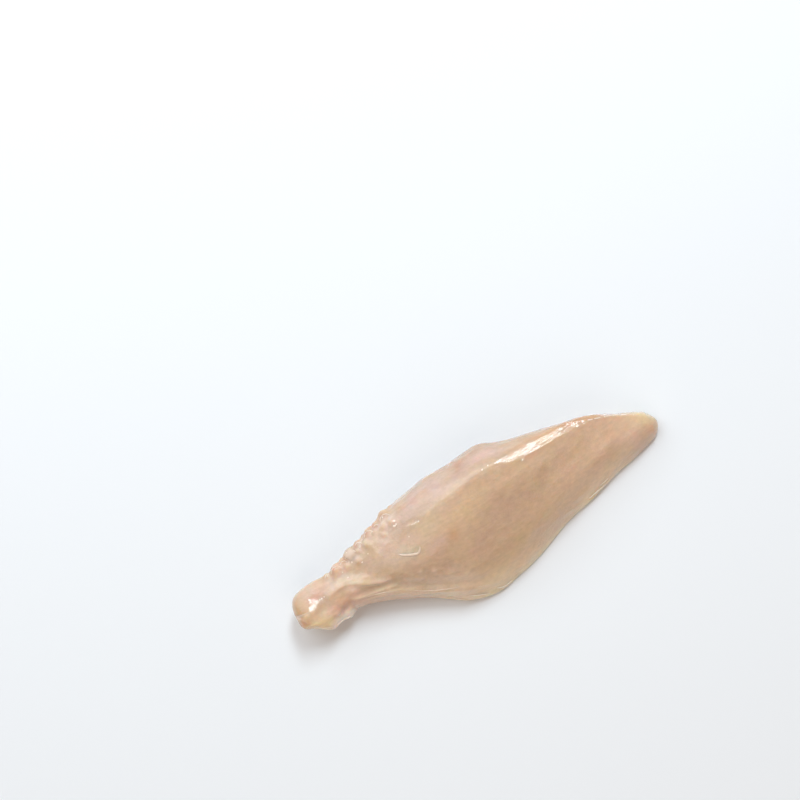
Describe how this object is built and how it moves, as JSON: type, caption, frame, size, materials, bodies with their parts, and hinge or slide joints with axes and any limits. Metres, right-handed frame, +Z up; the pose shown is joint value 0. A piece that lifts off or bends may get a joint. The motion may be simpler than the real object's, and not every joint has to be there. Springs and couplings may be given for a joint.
{
  "type": "steamed chicken fillet pet treat",
  "caption": "Whole steamed chicken breast inner fillet as a soft treat for pets: a ridged, tapering muscle with a torn tendon end and a thin tip, served whole or pulled apart.",
  "frame": {"origin": "on the resting plane, under the middle of the fillet's outline seen from above", "axes": "+X along the muscle from the torn tendon end to the thin tip, +Y towards the steep flank, +Z up"},
  "size_m": [0.1264, 0.0437, 0.0201],
  "materials": {
    "cooked_meat": "wet and glossy over a slightly translucent, fine-grained meat"
  },
  "bodies": {
    "root": {"chicken_fillet": "cooked_meat"}
  },
  "joints": []
}
